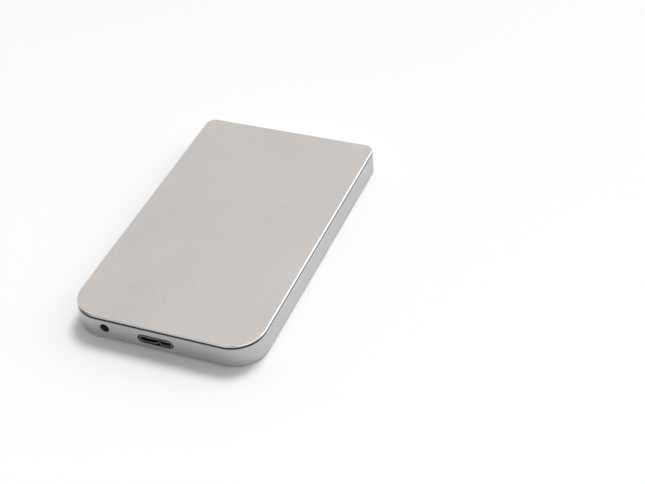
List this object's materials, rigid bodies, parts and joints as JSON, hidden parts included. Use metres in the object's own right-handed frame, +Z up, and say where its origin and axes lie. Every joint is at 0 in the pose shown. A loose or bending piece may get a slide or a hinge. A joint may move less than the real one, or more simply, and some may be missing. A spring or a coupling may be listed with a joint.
{
  "type": "external hard drive",
  "caption": "Slim portable hard drive: flat satin aluminium case with a bevelled lid, a shadow groove, an indicator window and a data socket at the round-cornered end.",
  "frame": {"origin": "middle of the case seen from above, on the plane that the feet rest on", "axes": "+X across the case to the right seen from the port end, +Y from the port end to the rear end, +Z up"},
  "size_m": [0.075, 0.1234, 0.0106],
  "materials": {
    "lid_aluminium": "satin, bead-blasted and anodised, with a polished bevel",
    "tray_aluminium": "satin, bead-blasted and anodised",
    "foot_rubber": "matte",
    "bumper_rubber": "matte",
    "foam": "fine cellular",
    "smoked_plastic": "smoked, polished",
    "lamp_plastic": "clear",
    "screw_steel": "zinc plated",
    "socket_steel": "nickel plated",
    "black_plastic": "moulded",
    "contact_gold": "gold flash",
    "board_laminate": "solder mask",
    "chip_black": "moulded",
    "ferrite": "sintered",
    "ceramic": "fired",
    "cast_aluminium": "die cast",
    "cover_aluminium": "pressed sheet",
    "gasket_rubber": "matte",
    "disc_mirror": "mirror polished",
    "turned_steel": "turned",
    "magnet_nickel": "nickel plated",
    "stator_steel": "laminated, coated",
    "copper": "enamelled wire",
    "flex_amber": "polyimide film",
    "ramp_plastic": "moulded"
  },
  "bodies": {
    "case": {"top_cover": "lid_aluminium", "bottom_tray": "tray_aluminium", "case_screws": "screw_steel", "rubber_feet": "foot_rubber", "side_bumpers": "bumper_rubber", "rear_bumper": "bumper_rubber", "lower_foam_pads": "foam", "upper_foam_pads": "foam", "light_pipe": "smoked_plastic", "status_lamp": "lamp_plastic", "usb_shell": "socket_steel", "usb_tongue": "black_plastic", "usb_contacts": "contact_gold", "bridge_board": "board_laminate", "bridge_board_screws": "screw_steel", "bridge_chip": "chip_black", "crystal": "socket_steel", "power_inductor": "ferrite", "capacitors": "ceramic", "sata_socket": "black_plastic", "sata_plug": "black_plastic", "drive_base": "cast_aluminium", "drive_cover": "cover_aluminium", "cover_gasket": "gasket_rubber", "cover_screws": "screw_steel", "drive_board": "board_laminate", "drive_board_screws": "screw_steel", "controller_chip": "chip_black", "cache_chip": "chip_black", "motor_chip": "chip_black", "bearing_sleeve": "turned_steel", "stator_core": "stator_steel", "stator_coils": "copper", "pivot_post": "turned_steel", "parking_ramp": "ramp_plastic", "lower_yoke": "magnet_nickel", "upper_yoke": "magnet_nickel", "lower_magnet": "magnet_nickel", "upper_magnet": "magnet_nickel", "flex_bracket": "black_plastic", "flex_circuit": "flex_amber"},
    "spindle": {"spindle_hub": "turned_steel", "rotor_magnet": "magnet_nickel", "lower_platter": "disc_mirror", "upper_platter": "disc_mirror", "platter_spacer": "turned_steel", "disc_clamp": "turned_steel", "clamp_screw": "screw_steel"},
    "actuator": {"actuator_block": "cast_aluminium", "pivot_sleeve": "turned_steel", "voice_coil": "copper", "head_suspensions": "socket_steel", "head_sliders": "ferrite"}
  },
  "joints": [
    {"name": "spindle_spin", "type": "hinge", "parent": "case", "child": "spindle", "pos_m": [0, 0.02452, 0.0051], "axis": [0, 0, 1], "continuous": true},
    {"name": "actuator_swing", "type": "hinge", "parent": "case", "child": "actuator", "pos_m": [0.011, -0.01394, 0.0051], "axis": [0, 0, -1], "range_deg": [0, 35]}
  ]
}
